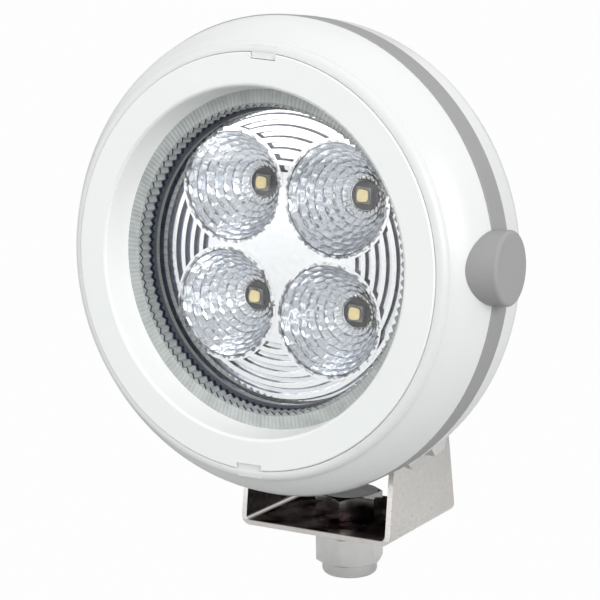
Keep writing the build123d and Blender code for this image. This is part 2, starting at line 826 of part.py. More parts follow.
# Bracket: a bent U of sheet, trimmed to the outline of its ears
ear_top = pivot_height + ear_crown_radius
with BuildPart() as bracket:
    with BuildSketch(Plane.XZ.offset(-bracket_depth / 2)) as section:
        with Locations((0, ear_top / 2)):
            Rectangle(bracket_width, ear_top)
        fillet(section.vertices().group_by(Axis.Y)[0], bend_radius + bracket_sheet)
        with Locations((0, ear_top / 2 + bracket_sheet)):
            Rectangle(2 * ear_inner, ear_top, mode=Mode.SUBTRACT)
        floor_line = section.vertices().filter_by_position(Axis.Y, bracket_sheet - 0.1, bracket_sheet + 0.1)
        fillet(floor_line.filter_by_position(Axis.X, -ear_inner - 0.1, ear_inner + 0.1), bend_radius)
    extrude(amount=bracket_depth)
    with BuildSketch(side_plane(-bracket_width)):
        with Locations((0, bracket_sheet / 2)):
            Rectangle(bracket_depth, bracket_sheet)
        with Locations((pivot_y, pivot_height)):
            Circle(ear_crown_radius)
        with Locations((ear_corner_y, ear_corner_height)):
            Circle(ear_corner_radius)
        make_hull()
    extrude(amount=2 * bracket_width, mode=Mode.INTERSECT)
    with Locations((0, 0, bracket_sheet)):
        Hole(bolt_radius + running_fit)
    with BuildSketch(side_plane(-bracket_width)):
        with Locations((pivot_y, pivot_height)):
            Circle(pivot_bolt_radius + running_fit)
    extrude(amount=2 * bracket_width, mode=Mode.SUBTRACT)
save("bracket", bracket.part)


# Tilt pivot hardware, the same on both sides
flat_washer_start = ear_outer + side_gap
spring_washer_start = flat_washer_start + flat_washer_sheet
pivot_head_start = spring_washer_start + spring_washer_sheet
pivot_head_radius = hex_radius(pivot_head_flats)
pivot_axis = Axis((0, pivot_y, pivot_height), (1, 0, 0))

with BuildPart() as pivot_flat_washers:
    with BuildSketch(side_plane(flat_washer_start)):
        with Locations((pivot_y, pivot_height)):
            Circle(flat_washer_radius)
            Circle(pivot_bolt_radius + screw_clearance, mode=Mode.SUBTRACT)
    extrude(amount=flat_washer_sheet)
    mirror(about=Plane.YZ)
save("pivot_flat_washers", pivot_flat_washers.part)

with BuildPart() as pivot_spring_washers:
    with BuildSketch(side_plane(spring_washer_start)):
        with Locations((pivot_y, pivot_height)):
            Circle(spring_washer_radius)
            Circle(pivot_bolt_radius + screw_clearance, mode=Mode.SUBTRACT)
    extrude(amount=spring_washer_sheet)
    with BuildSketch(Plane.XZ.offset(-pivot_y + spring_washer_radius)):
        with Locations((spring_washer_start + spring_washer_sheet / 2, pivot_height)):
            Rectangle(2 * spring_washer_sheet, washer_split, rotation=washer_skew)
    extrude(amount=spring_washer_radius, mode=Mode.SUBTRACT)
    mirror(about=Plane.YZ)
save("pivot_spring_washers", pivot_spring_washers.part)

with BuildPart() as pivot_bolts:
    with BuildSketch(side_plane(pivot_head_start)):
        with Locations((pivot_y, pivot_height)):
            RegularPolygon(pivot_head_radius, 6, rotation=10)
    extrude(amount=pivot_head_height)
    with BuildSketch(Plane(origin=(0, pivot_y, pivot_height), z_dir=(0, -1, 0))):
        with BuildLine():
            Polyline(*chamfer_wedge(pivot_head_flats, pivot_head_start + pivot_head_height, 1), close=True)
        make_face()
    revolve(axis=pivot_axis, mode=Mode.SUBTRACT)
    with BuildSketch(side_plane(pivot_head_start)):
        with Locations((pivot_y, pivot_height)):
            Circle(pivot_bolt_radius)
    extrude(amount=-pivot_bolt_length)
    chamfer(pivot_bolts.faces().sort_by(Axis.X)[0].edges(), 0.2 * pivot_bolt_radius)
    mirror(about=Plane.YZ)
save("pivot_bolts", pivot_bolts.part)


# Mounting bolt through the bracket's base, with its washers and self-locking nut below
head_start = bracket_sheet + side_gap
head_top = head_start + bolt_head_height
mount_spring_top = -side_gap - mount_washer_sheet
nut_top = mount_spring_top - mount_spring_sheet
nut_collar_top = nut_top - nut_hex_height
nut_bottom = nut_collar_top - nut_collar_height
bolt_end = nut_bottom - bolt_end_past_nut
bolt_head_radius = hex_radius(bolt_head_flats)

with BuildPart() as mounting_bolt:
    with BuildSketch(Plane.XY.offset(head_start)):
        RegularPolygon(bolt_head_radius, 6, rotation=bolt_head_turn)
    extrude(amount=bolt_head_height)
    with BuildSketch(Plane.XZ):
        with BuildLine():
            wedge = chamfer_wedge(bolt_head_flats, head_top, 1)
            Polyline(*[(across, along) for along, across in wedge], close=True)
        make_face()
    revolve(axis=Axis.Z, mode=Mode.SUBTRACT)
    with BuildSketch(Plane.XY.offset(head_start)):
        Circle(bolt_radius)
    extrude(amount=bolt_end - head_start)
    chamfer(mounting_bolt.faces().sort_by(Axis.Z)[0].edges(), 0.14 * bolt_radius)
save("mounting_bolt", mounting_bolt.part)

with BuildPart() as mounting_washer:
    with BuildSketch(Plane.XY.offset(-side_gap)):
        Circle(mount_washer_radius)
        Circle(bolt_radius + screw_clearance, mode=Mode.SUBTRACT)
    extrude(amount=-mount_washer_sheet)
    lower_rims = mounting_washer.faces().sort_by(Axis.Z)[0].edges()
    chamfer(lower_rims.sort_by(SortBy.RADIUS)[-1], 0.2 * mount_washer_sheet)
save("mounting_washer", mounting_washer.part)

with BuildPart() as mounting_spring_washer:
    with BuildSketch(Plane.XY.offset(mount_spring_top)):
        Circle(mount_spring_radius)
        Circle(bolt_radius + screw_clearance, mode=Mode.SUBTRACT)
    extrude(amount=-mount_spring_sheet)
    with BuildSketch(side_plane(0)):
        with Locations((0, mount_spring_top - mount_spring_sheet / 2)):
            Rectangle(washer_split, 2 * mount_spring_sheet, rotation=washer_skew)
    extrude(amount=-mount_spring_radius, mode=Mode.SUBTRACT)
save("mounting_spring_washer", mounting_spring_washer.part)

with BuildPart() as mounting_nut:
    with BuildSketch(Plane.XY.offset(nut_top)):
        RegularPolygon(bolt_head_radius, 6, rotation=bolt_head_turn)
    extrude(amount=-nut_hex_height)
    with BuildSketch(Plane.XZ):
        with BuildLine():
            wedge = chamfer_wedge(bolt_head_flats, nut_collar_top, -1)
            Polyline(*[(across, along) for along, across in wedge], close=True)
        make_face()
    revolve(axis=Axis.Z, mode=Mode.SUBTRACT)
    with BuildSketch(Plane.XY.offset(nut_collar_top)):
        Circle(nut_collar_radius)
    extrude(amount=-nut_collar_height)
    fillet(mounting_nut.faces().sort_by(Axis.Z)[0].edges(), 1.5)
    with BuildSketch(Plane.XY.offset(nut_collar_top - 0.5)):
        Circle(nylon_ring_radius + thread_fit)
    extrude(amount=-(nylon_ring_height + 2 * thread_fit), mode=Mode.SUBTRACT)
    with BuildSketch(Plane.XY.offset(nut_top)):
        Circle(bolt_radius + thread_fit)
    extrude(amount=-(nut_hex_height + nut_collar_height), mode=Mode.SUBTRACT)
    with BuildSketch(Plane.XY.offset(nut_bottom)):
        Circle(bolt_radius + 0.8)
    extrude(amount=nut_collar_height - 1.0, mode=Mode.SUBTRACT)
save("mounting_nut", mounting_nut.part)

with BuildPart() as nut_lock_ring:
    with BuildSketch(Plane.XY.offset(nut_collar_top - 0.5 - thread_fit)):
        Circle(nylon_ring_radius)
        Circle(bolt_radius + thread_fit, mode=Mode.SUBTRACT)
    extrude(amount=-nylon_ring_height)
save("nut_lock_ring", nut_lock_ring.part)
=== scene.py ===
import math
import bpy
import bmesh
from mathutils import Matrix, Vector, noise


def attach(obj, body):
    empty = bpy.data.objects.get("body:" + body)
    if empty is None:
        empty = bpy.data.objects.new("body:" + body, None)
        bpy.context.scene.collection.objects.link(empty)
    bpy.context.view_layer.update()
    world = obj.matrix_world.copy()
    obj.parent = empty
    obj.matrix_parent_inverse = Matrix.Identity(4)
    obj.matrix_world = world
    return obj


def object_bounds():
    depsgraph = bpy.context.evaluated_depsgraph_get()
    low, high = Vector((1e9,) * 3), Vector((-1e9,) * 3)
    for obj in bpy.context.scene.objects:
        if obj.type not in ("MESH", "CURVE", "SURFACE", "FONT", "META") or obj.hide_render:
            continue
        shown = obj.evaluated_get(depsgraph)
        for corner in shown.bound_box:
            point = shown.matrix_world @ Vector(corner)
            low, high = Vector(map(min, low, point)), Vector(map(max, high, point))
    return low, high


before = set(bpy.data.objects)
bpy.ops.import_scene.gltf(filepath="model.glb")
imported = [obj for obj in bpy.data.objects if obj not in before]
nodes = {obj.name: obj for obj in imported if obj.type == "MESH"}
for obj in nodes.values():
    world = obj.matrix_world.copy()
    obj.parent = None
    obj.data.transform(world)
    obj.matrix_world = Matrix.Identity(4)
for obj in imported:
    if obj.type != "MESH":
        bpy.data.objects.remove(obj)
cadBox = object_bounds()
print("frame loaded:", len(nodes), "nodes")

# the lamp's flat face and the height of its axis, in metres
lampPlace = {"faceY": -0.0513, "axisZ": 0.0775}


# finishes, all worked out from the object's own coordinates
def newFinish(name):
    mat = bpy.data.materials.new(name)
    mat.use_nodes = True
    tree = mat.node_tree
    shader = tree.nodes["Principled BSDF"]
    coords = tree.nodes.new("ShaderNodeTexCoord")
    return mat, tree, shader, coords.outputs["Object"]


def addNoise(tree, coords, scale, detail=3.0, stretch=None):
    if stretch:
        mapping = tree.nodes.new("ShaderNodeMapping")
        mapping.inputs["Scale"].default_value = stretch
        tree.links.new(coords, mapping.inputs["Vector"])
        coords = mapping.outputs["Vector"]
    tex = tree.nodes.new("ShaderNodeTexNoise")
    tex.inputs["Scale"].default_value = scale
    tex.inputs["Detail"].default_value = detail
    tree.links.new(coords, tex.inputs["Vector"])
    return tex.outputs["Fac"]


# stretches a value to low..high; noise mostly lies between 0.3 and 0.7
def addRange(tree, value, low, high, fromLow=0.3, fromHigh=0.7):
    node = tree.nodes.new("ShaderNodeMapRange")
    node.inputs["From Min"].default_value = fromLow
    node.inputs["From Max"].default_value = fromHigh
    node.inputs["To Min"].default_value = low
    node.inputs["To Max"].default_value = high
    tree.links.new(value, node.inputs["Value"])
    return node.outputs["Result"]


def addMix(tree, factor, first, second):
    node = tree.nodes.new("ShaderNodeMix")
    node.data_type = "RGBA"
    tree.links.new(factor, node.inputs["Factor"])
    for socket, value in ((node.inputs["A"], first), (node.inputs["B"], second)):
        if isinstance(value, tuple):
            socket.default_value = (*value, 1.0)
        else:
            tree.links.new(value, socket)
    return node.outputs["Result"]


def addSplit(tree, coords):
    node = tree.nodes.new("ShaderNodeSeparateXYZ")
    tree.links.new(coords, node.inputs[0])
    return node.outputs


def addShaderMix(tree, factor, first, second):
    node = tree.nodes.new("ShaderNodeMixShader")
    for socket, value in zip(node.inputs, (factor, first, second)):
        tree.links.new(value, socket)
    return node.outputs[0]


def addBump(tree, height, depth, strength=1.0, under=None):
    node = tree.nodes.new("ShaderNodeBump")
    node.inputs["Strength"].default_value = strength
    node.inputs["Distance"].default_value = depth
    tree.links.new(height, node.inputs["Height"])
    if under:
        tree.links.new(under, node.inputs["Normal"])
    return node.outputs["Normal"]


# offset and distance from a line that runs front to back, such as the lamp's axis
def addRadius(tree, coords, acrossAt, upAt):
    flat = tree.nodes.new("ShaderNodeVectorMath")
    flat.operation = "MULTIPLY_ADD"
    flat.inputs[1].default_value = (1, 0, 1)
    flat.inputs[2].default_value = (-acrossAt, 0, -upAt)
    tree.links.new(coords, flat.inputs[0])
    reach = tree.nodes.new("ShaderNodeVectorMath")
    reach.operation = "LENGTH"
    tree.links.new(flat.outputs["Vector"], reach.inputs[0])
    return flat.outputs["Vector"], reach.outputs["Value"]


# distance behind the lamp's flat face
def addDepth(tree, coords):
    return addMath(tree, "SUBTRACT", addSplit(tree, coords)["Y"], lampPlace["faceY"])


def addMath(tree, operation, first, second=None):
    node = tree.nodes.new("ShaderNodeMath")
    node.operation = operation
    for socket, value in zip(node.inputs, (first, second)):
        if isinstance(value, (int, float)):
            socket.default_value = value
        elif value is not None:
            tree.links.new(value, socket)
    return node.outputs[0]


# one between low and high, nought outside, with a soft edge
def addBand(tree, value, low, high, soft):
    up = addRange(tree, value, 0, 1, low - soft, low + soft)
    down = addRange(tree, value, 1, 0, high - soft, high + soft)
    return addMath(tree, "MULTIPLY", up, down)


# finishes by name: colour, tone drift, shine and texture; depths in metres
plasticLooks = {
    "shellPlastic": dict(colour=(0.755, 0.775, 0.765), drift=0.015, driftScale=25, rough=0.34,
                         roughDrift=0.05, skinScale=2200, skinDepth=0.000015),
    "bandPlastic": dict(colour=(0.338, 0.338, 0.338), drift=0.04, driftScale=40, rough=0.6, roughDrift=0.06,
                        skinScale=3200, skinDepth=0.00003, specular=0.3),
    "sealRubber": dict(colour=(0.035, 0.035, 0.036), drift=0.2, driftScale=200, rough=0.8, roughDrift=0.1,
                       skinScale=3000, skinDepth=0.00003),
    "boardMask": dict(colour=(0.02, 0.022, 0.03), drift=0.15, driftScale=400, rough=0.4, roughDrift=0.08,
                      skinScale=3000, skinDepth=0.00001),
    "ceramicWhite": dict(colour=(0.30, 0.29, 0.27), drift=0.04, driftScale=900, rough=0.5, roughDrift=0.08,
                         skinScale=6000, skinDepth=0.00001),
    "padRubber": dict(colour=(0.4, 0.42, 0.43), drift=0.1, driftScale=300, rough=0.75, roughDrift=0.1,
                      skinScale=4000, skinDepth=0.00002),
    "castCoat": dict(colour=(0.022, 0.022, 0.024), drift=0.25, driftScale=120, rough=0.46, roughDrift=0.12,
                     skinScale=1500, skinDepth=0.00006),
    "driverBoard": dict(colour=(0.04, 0.22, 0.1), drift=0.2, driftScale=500, rough=0.4, roughDrift=0.1,
                        skinScale=3000, skinDepth=0.00001),
    "coilWinding": dict(colour=(0.2, 0.07, 0.03), drift=0.4, driftScale=1500, rough=0.45, roughDrift=0.1,
                        skinScale=3500, skinDepth=0.00008),
    "capSleeve": dict(colour=(0.05, 0.05, 0.07), drift=0.1, driftScale=500, rough=0.25, roughDrift=0.05,
                      skinScale=3000, skinDepth=0.00001),
    "chipResin": dict(colour=(0.02, 0.02, 0.02), drift=0.2, driftScale=900, rough=0.55, roughDrift=0.1,
                      skinScale=6000, skinDepth=0.00001),
    "terminalPlastic": dict(colour=(0.06, 0.3, 0.12), drift=0.1, driftScale=400, rough=0.45,
                            roughDrift=0.08, skinScale=3000, skinDepth=0.00001),
    "glandNylon": dict(colour=(0.025, 0.025, 0.026), drift=0.2, driftScale=200, rough=0.42, roughDrift=0.08,
                       skinScale=2600, skinDepth=0.00003),
    "lockNylon": dict(colour=(0.75, 0.76, 0.72), drift=0.06, driftScale=300, rough=0.45, roughDrift=0.08,
                      skinScale=3000, skinDepth=0.00002),
}
plasticLayers = {"flowCoarser": 12, "flowDeeper": 2, "flowBump": 0.4, "skinBump": 0.6, "specular": 0.5}


# moulded plastic: slow tone drift, fine skin texture, soft flow marks
def plasticFinish(name, look):
    mat, tree, shader, coords = newFinish(name)
    drift = addNoise(tree, coords, look["driftScale"], 2.0)
    pale = look["colour"]
    deep = tuple(c * (1 - look["drift"]) for c in pale)
    tone = addMix(tree, addRange(tree, drift, 0, 1), deep, pale)
    tree.links.new(tone, shader.inputs["Base Color"])
    skin = addNoise(tree, coords, look["skinScale"], 4.0)
    rough = addRange(tree, skin, look["rough"] - look["roughDrift"], look["rough"] + look["roughDrift"])
    tree.links.new(rough, shader.inputs["Roughness"])
    flow = addNoise(tree, coords, look["skinScale"] / plasticLayers["flowCoarser"], 2.0)
    low = addBump(tree, flow, look["skinDepth"] * plasticLayers["flowDeeper"], plasticLayers["flowBump"])
    high = addBump(tree, skin, look["skinDepth"], plasticLayers["skinBump"], low)
    tree.links.new(high, shader.inputs["Normal"])
    shader.inputs["Specular IOR Level"].default_value = look.get("specular", plasticLayers["specular"])
    return mat


metalLooks = {
    # the mounting bolt's steel, painted darker than the other steel as painted shade for the dark it
    # mirrors
    "shadedHeadSteel": dict(colour=(0.32, 0.31, 0.31), drift=0.3, cloudScale=160, rough=0.14, roughDrift=0.04,
                      grainScale=900, grainStretch=(1, 1, 0.3), grainDepth=0.000006),
    "boltSteel": dict(colour=(0.63, 0.63, 0.625), drift=0.12, cloudScale=160, rough=0.16, roughDrift=0.04,
                      grainScale=900, grainStretch=(1, 1, 0.3), grainDepth=0.000006),
    "washerSteel": dict(colour=(0.58, 0.575, 0.56), drift=0.12, cloudScale=150, rough=0.28, roughDrift=0.06,
                        grainScale=1200, grainStretch=(1, 1, 1), grainDepth=0.000008),
    "pinBrass": dict(colour=(0.8, 0.6, 0.25), drift=0.1, cloudScale=400, rough=0.25, roughDrift=0.05,
                     grainScale=2000, grainStretch=(1, 1, 1), grainDepth=0.000004),
}
metalLayers = {"streaks": (0, 0.6, 0.45, 0.75), "duller": 1.15, "shinier": 0.85, "grainBump": 0.5,
               "grainTone": 0.1}


# rolled or turned metal: grain along one way in height, shine and tone, and slow tone drift
def metalFinish(name, look):
    mat, tree, shader, coords = newFinish(name)
    grain = addNoise(tree, coords, look["grainScale"], 4.0, look["grainStretch"])
    cloud = addNoise(tree, coords, look["cloudScale"], 3.0)
    pale = look["colour"]
    deep = tuple(c * (1 - look["drift"]) for c in pale)
    tone = addMix(tree, addRange(tree, cloud, 0, 1), deep, pale)
    worn = tuple(c * (1 - look.get("grainTone", metalLayers["grainTone"])) for c in pale)
    streaks = addRange(tree, grain, *metalLayers["streaks"])
    tree.links.new(addMix(tree, streaks, tone, worn), shader.inputs["Base Color"])
    fine = addRange(tree, grain, -look["roughDrift"], look["roughDrift"])
    shiny, dull = look["rough"] * metalLayers["shinier"], look["rough"] * metalLayers["duller"]
    slow = addRange(tree, cloud, shiny, dull)
    tree.links.new(addMath(tree, "ADD", fine, slow), shader.inputs["Roughness"])
    rolled = addBump(tree, grain, look["grainDepth"], metalLayers["grainBump"])
    tree.links.new(rolled, shader.inputs["Normal"])
    shader.inputs["Metallic"].default_value = 1.0
    return mat


clearLooks = {
    "domeSilicone": dict(colour=(0.99, 0.97, 0.9), index=1.41, rough=0.02, rippleScale=900,
                         rippleDepth=0.00001),
}
clearLayers = {"duller": 1.3, "shinier": 0.7, "rippleBump": 0.3, "through": 0.97}


# clear parts let light in: rays that only carry shade pass straight through
def clearFinish(name, look):
    mat, tree, shader, coords = newFinish(name)
    shader.inputs["Base Color"].default_value = (*look["colour"], 1)
    shader.inputs["Transmission Weight"].default_value = 1.0
    shader.inputs["IOR"].default_value = look["index"]
    ripple = addNoise(tree, coords, look["rippleScale"], 2.0)
    shiny, dull = look["rough"] * clearLayers["shinier"], look["rough"] * clearLayers["duller"]
    tree.links.new(addRange(tree, ripple, shiny, dull), shader.inputs["Roughness"])
    waves = addBump(tree, ripple, look["rippleDepth"], clearLayers["rippleBump"])
    tree.links.new(waves, shader.inputs["Normal"])
    path = tree.nodes.new("ShaderNodeLightPath")
    soft = addMath(tree, "MAXIMUM", path.outputs["Is Shadow Ray"], path.outputs["Is Diffuse Ray"])
    through = tree.nodes.new("ShaderNodeBsdfTransparent")
    through.inputs["Color"].default_value = (*[clearLayers["through"] * c for c in look["colour"]], 1)
    mixed = addShaderMix(tree, soft, shader.outputs[0], through.outputs[0])
    tree.links.new(mixed, tree.nodes["Material Output"].inputs["Surface"])
    return mat


lensLook = dict(colour=(0.97, 0.98, 0.98), index=1.49, rough=0.01, rippleScale=120, rippleDepth=0.00002,
                rimLines=224, lineDepth=0.0001, lineBump=0.5, lineTone=0.12, rimCloud=260,
                rimSpread=(0.2, 0.8), rimRough=0.3,
                rimPale=(0.55, 0.585, 0.575), rimDeep=(0.37, 0.40, 0.395), milk=0.7,
                # navy of the painted shade on the fluted wall
                paintedShade=(0.012, 0.014, 0.04),
                # from, to and soft edge: radius of the fluted wall, depth of its teeth and its foot
                wall=(0.0379, 0.03975, 0.00004), teeth=(0.0091, 0.0097, 0.00008),
                foot=(0.0131, 0.0146, 0.00015))


# the lens is clear over its window; its clamped rim is frosted with radial lines,
# its fluted wall is milky, with painted shade along the teeth and where it meets the window
def lensFinish(name, look):
    mat = clearFinish(name, look)
    tree = mat.node_tree
    coords = objectCoords(mat)
    surface = tree.nodes["Material Output"].inputs["Surface"]
    clear = surface.links[0].from_socket
    flat, radius = addRadius(tree, coords, 0, lampPlace["axisZ"])
    depth = addDepth(tree, coords)
    split = addSplit(tree, flat)
    turn = addMath(tree, "ARCTAN2", split["X"], split["Z"])
    lines = addMath(tree, "SINE", addMath(tree, "MULTIPLY", turn, look["rimLines"]))
    drift = addNoise(tree, coords, look["rimCloud"], 3.0)
    tone = addMath(tree, "ADD", addMath(tree, "MULTIPLY", lines, look["lineTone"]), drift)
    rimTone = addMix(tree, addRange(tree, tone, 0, 1, *look["rimSpread"]), look["rimDeep"], look["rimPale"])
    teeth = addBand(tree, depth, *look["teeth"])
    foot = addBand(tree, depth, *look["foot"])
    onWall = addBand(tree, radius, *look["wall"])
    # painted shade along the teeth and the foot of the fluted wall
    paintedShade = addMath(tree, "MULTIPLY", addMath(tree, "MAXIMUM", teeth, foot), onWall)
    frost = tree.nodes.new("ShaderNodeBsdfPrincipled")
    tree.links.new(addMix(tree, paintedShade, rimTone, look["paintedShade"]), frost.inputs["Base Color"])
    frost.inputs["Roughness"].default_value = look["rimRough"]
    tree.links.new(addBump(tree, lines, look["lineDepth"], look["lineBump"]), frost.inputs["Normal"])
    wallEnd, soft = look["wall"][1:]
    onRim = addRange(tree, radius, 0, 1, wallEnd - soft, wallEnd + soft)
    milky = addMath(tree, "MULTIPLY", onWall, look["milk"])
    share = addMath(tree, "MAXIMUM", addMath(tree, "MAXIMUM", onRim, milky), paintedShade)
    tree.links.new(addShaderMix(tree, share, clear, frost.outputs[0]), surface)
    return mat


# lays another colour over a finish where the mask is one
def addTint(mat, mask, colour):
    tree = mat.node_tree
    socket = tree.nodes["Principled BSDF"].inputs["Base Color"]
    tree.links.new(addMix(tree, mask, socket.links[0].from_socket, colour), socket)


def objectCoords(mat):
    return next(node for node in mat.node_tree.nodes if node.type == "TEX_COORD").outputs["Object"]


# bezel plastic; the wall keys set the painted light on the wall round the lens
bezelLook = dict(colour=(0.855, 0.882, 0.873), drift=0.02, driftScale=30, rough=0.42, roughDrift=0.05,
                 skinScale=2600, skinDepth=0.00002, wallEnd=0.0441, wallSoft=0.0001,
                 paintedLightWall=(0.98, 0.985, 0.98))


# front ring: grained grey-white face, smoother wall round the lens, painted paler as painted light
def bezelFinish(name, look):
    mat = plasticFinish(name, look)
    flat, radius = addRadius(mat.node_tree, objectCoords(mat), 0, lampPlace["axisZ"])
    wallEnd, soft = look["wallEnd"], look["wallSoft"]
    wall = addRange(mat.node_tree, radius, 1, 0, wallEnd - soft, wallEnd + soft)
    # painted light: the wall round the lens is made paler
    addTint(mat, wall, look["paintedLightWall"])
    return mat


# bracket steel; its last keys set the painted shade on the upper face of its base
bracketLook = dict(colour=(0.62, 0.60, 0.575), drift=0.14, cloudScale=60, rough=0.22, roughDrift=0.05,
                   grainScale=900, grainStretch=(1, 0.6, 1.1), grainDepth=0.00001, grainTone=0.2,
                   baseHeight=(0.0013, 0.0018, 0.0001), baseSide=(0.0205, 0.0218), shadeBreakupScale=90,
                   shadeBreakup=(0.7, 1.0), paintedBaseShade=(0.07, 0.06, 0.062))


# folded steel: the upper face of its base is painted dark, as painted shade for what its polish would
# mirror
def bracketFinish(name, look):
    mat = metalFinish(name, look)
    tree = mat.node_tree
    coords = objectCoords(mat)
    split = addSplit(tree, coords)
    base = addBand(tree, split["Z"], *look["baseHeight"])
    wide = addRange(tree, addMath(tree, "ABSOLUTE", split["X"]), 1, 0, *look["baseSide"])
    # noise breaks up the painted shade
    shadeBreakup = addRange(tree, addNoise(tree, coords, look["shadeBreakupScale"], 4.0), *look["shadeBreakup"])
    mask = addMath(tree, "MULTIPLY", addMath(tree, "MULTIPLY", base, wide), shadeBreakup)
    addTint(mat, mask, look["paintedBaseShade"])
    # painted shade: the reflections on the base's upper face are tinted dark too
    grazing = tree.nodes["Principled BSDF"].inputs["Specular Tint"]  # dark at low angles too
    tree.links.new(addMix(tree, mask, (1, 1, 1), look["paintedBaseShade"]), grazing)
    return mat


# mirror coat; its last keys set the painted shade on the ridges' sides, the cups' rims and the groove
# floors
mirrorLook = dict(colour=(0.865, 0.87, 0.885), drift=0.03, cloudScale=80, rough=0.07, roughDrift=0.02,
                  grainScale=500, grainStretch=(1, 1, 1), grainDepth=0.00001,
                  rimIn=0.001, rimOut=0.00025, rimSoft=0.00006, ragged=0.0009,
                  wobbleScale=900, wobble=(0.35, 0.75), breakScale=350, breaks=(0.40, 0.52),
                  shadeBreakupScale=420, shadeBreakup=(0.45, 1.0), paintedShade=(0.02, 0.022, 0.05), paintedGrooveShade=(0.16, 0.17, 0.30),
                  # depth from, to and soft edge: the ridges' sides and the floors of the grooves, both
                  # given painted shade; the groove shade fades from left to right
                  ridge=(0.01712, 0.01795, 0.00008), groove=(0.01798, 0.0184, 0.00005),
                  grooveSide=(-0.032, -0.008), grooveLeast=0.15)  # the tint fades from left to right


# the mirror dish: bright lands; painted shade draws the sides of the ridges and the cups' rims dark and
# darkens the groove floors
def mirrorFinish(name, look):
    mat = metalFinish(name, look)
    tree = mat.node_tree
    shader = tree.nodes["Principled BSDF"]
    coords = objectCoords(mat)
    bright = shader.inputs["Base Color"].links[0].from_socket
    depth = addDepth(tree, coords)
    paintedShade = addBand(tree, depth, *look["ridge"])
    floors = addBand(tree, depth, *look["groove"])
    side = addRange(tree, addSplit(tree, coords)["X"], 1, look["grooveLeast"], *look["grooveSide"])
    shade = addMath(tree, "MULTIPLY", floors, side)
    # painted shade on the groove floors, fading from left to right
    bright = addMix(tree, shade, bright, look["paintedGrooveShade"])
    wobble = addNoise(tree, coords, look["wobbleScale"], 2.0)
    breaks = addRange(tree, addNoise(tree, coords, look["breakScale"], 2.0), 0, 1, *look["breaks"])
    rimFrom, rimTo = cupSet["mouth"] - look["rimIn"], cupSet["mouth"] + look["rimOut"]
    for acrossAt, upAt in cupCentres():
        flat, radius = addRadius(tree, coords, acrossAt, lampPlace["axisZ"] + upAt)
        frayed = addRange(tree, wobble, 0, look["ragged"], *look["wobble"])
        ragged = addMath(tree, "SUBTRACT", radius, frayed)
        rim = addBand(tree, ragged, rimFrom, rimTo, look["rimSoft"])
        paintedShade = addMath(tree, "MAXIMUM", paintedShade, addMath(tree, "MULTIPLY", rim, breaks))
    shadeBreakup = addRange(tree, addNoise(tree, coords, look["shadeBreakupScale"], 3.0), *look["shadeBreakup"])
    # painted shade on the ridges' sides and the cups' rims, broken up by noise
    drawn = addMix(tree, addMath(tree, "MULTIPLY", paintedShade, shadeBreakup), bright, look["paintedShade"])
    tree.links.new(drawn, shader.inputs["Base Color"])
    return mat


# cup coating; the border keys set the painted shade between facets
cupLook = dict(colour=(0.84, 0.86, 0.89), drift=0.15, cloudScale=700, rough=0.10, roughDrift=0.04,
               grainScale=1500, grainStretch=(1, 1, 1), grainDepth=0.00002, breakScale=700,
               breaks=(0.1, 1, 0.40, 0.58), borderShare=0.8, borderSpread=(0.25, 0.8),
               paintedBorderShade=(0.12, 0.14, 0.22))


# the cups' coating: painted shade, darker where one facet meets the next
def cupFinish(name, look):
    mat = metalFinish(name, look)
    tree = mat.node_tree
    border = tree.nodes.new("ShaderNodeAttribute")
    border.attribute_name = "border"
    cloud = addNoise(tree, objectCoords(mat), look["breakScale"], 2.0)
    drawn = addMath(tree, "MULTIPLY", border.outputs["Fac"], addRange(tree, cloud, *look["breaks"]))
    # painted shade along the facet borders
    mask = addRange(tree, drawn, 0, look["borderShare"], *look["borderSpread"])
    addTint(mat, mask, look["paintedBorderShade"])
    return mat


# reflector cups, as the frame has them, and the facets that line them; lengths in metres
cupSet = {
    "pitch": 0.031, "turn": -5.0, "rise": 0.0015, "mouth": 0.0142, "throat": 0.0039, "depth": 0.015,
    "mouthDepth": 0.0170, "skin": 0.00012, "inset": 0.0001, "step": 0.00005,
    "around": 22, "rows": 7, "fine": 6,  # facets round a cup, rows down it, and cuts across a facet
    "dome": 0.00024, "square": 0.55, "tilt": 0.0007, "drift": 0.6,
    "seed": 5,  # which facets lean which way
    "spread": (7.3, 3.1, 11.7),  # noise step from one facet, row and cup to the next
    "sideBorder": 0.55,  # the lines between neighbours in a row are fainter than those between rows
}


# middle of each cup, across and up from the lamp's axis
def cupCentres():
    away = cupSet["pitch"] / math.sqrt(2)
    for index in range(4):
        angle = math.radians(45 + 90 * index + cupSet["turn"])
        yield away * math.cos(angle), away * math.sin(angle) + cupSet["rise"]


finishes = {}
for name, look in plasticLooks.items():
    finishes[name] = plasticFinish(name, look)
for name, look in metalLooks.items():
    finishes[name] = metalFinish(name, look)
for name, look in clearLooks.items():
    finishes[name] = clearFinish(name, look)
finishes["lensPlastic"] = lensFinish("lensPlastic", lensLook)
finishes["mirrorCoat"] = mirrorFinish("mirrorCoat", mirrorLook)
finishes["cupCoat"] = cupFinish("cupCoat", cupLook)
finishes["bezelPlastic"] = bezelFinish("bezelPlastic", bezelLook)
finishes["bracketSteel"] = bracketFinish("bracketSteel", bracketLook)


# phosphor under the dome: warm yellow, with a faint painted glow
phosphorLook = {"deep": (0.96, 0.74, 0.34), "pale": (1.0, 0.88, 0.58), "toneScale": 1500, "rough": 0.6,
                "glow": (1.0, 0.84, 0.42), "paintedGlowStrength": 0.28}


def phosphorFinish(look):
    mat, tree, shader, coords = newFinish("phosphor")
    tone = addRange(tree, addNoise(tree, coords, look["toneScale"], 3.0), 0, 1)
    tree.links.new(addMix(tree, tone, look["deep"], look["pale"]), shader.inputs["Base Color"])
    shader.inputs["Roughness"].default_value = look["rough"]
    # painted glow: the chip is no lit lamp
    shader.inputs["Emission Color"].default_value = (*look["glow"], 1.0)
    shader.inputs["Emission Strength"].default_value = look["paintedGlowStrength"]
    return mat


finishes["phosphor"] = phosphorFinish(phosphorLook)
print("finishes made:", len(finishes))

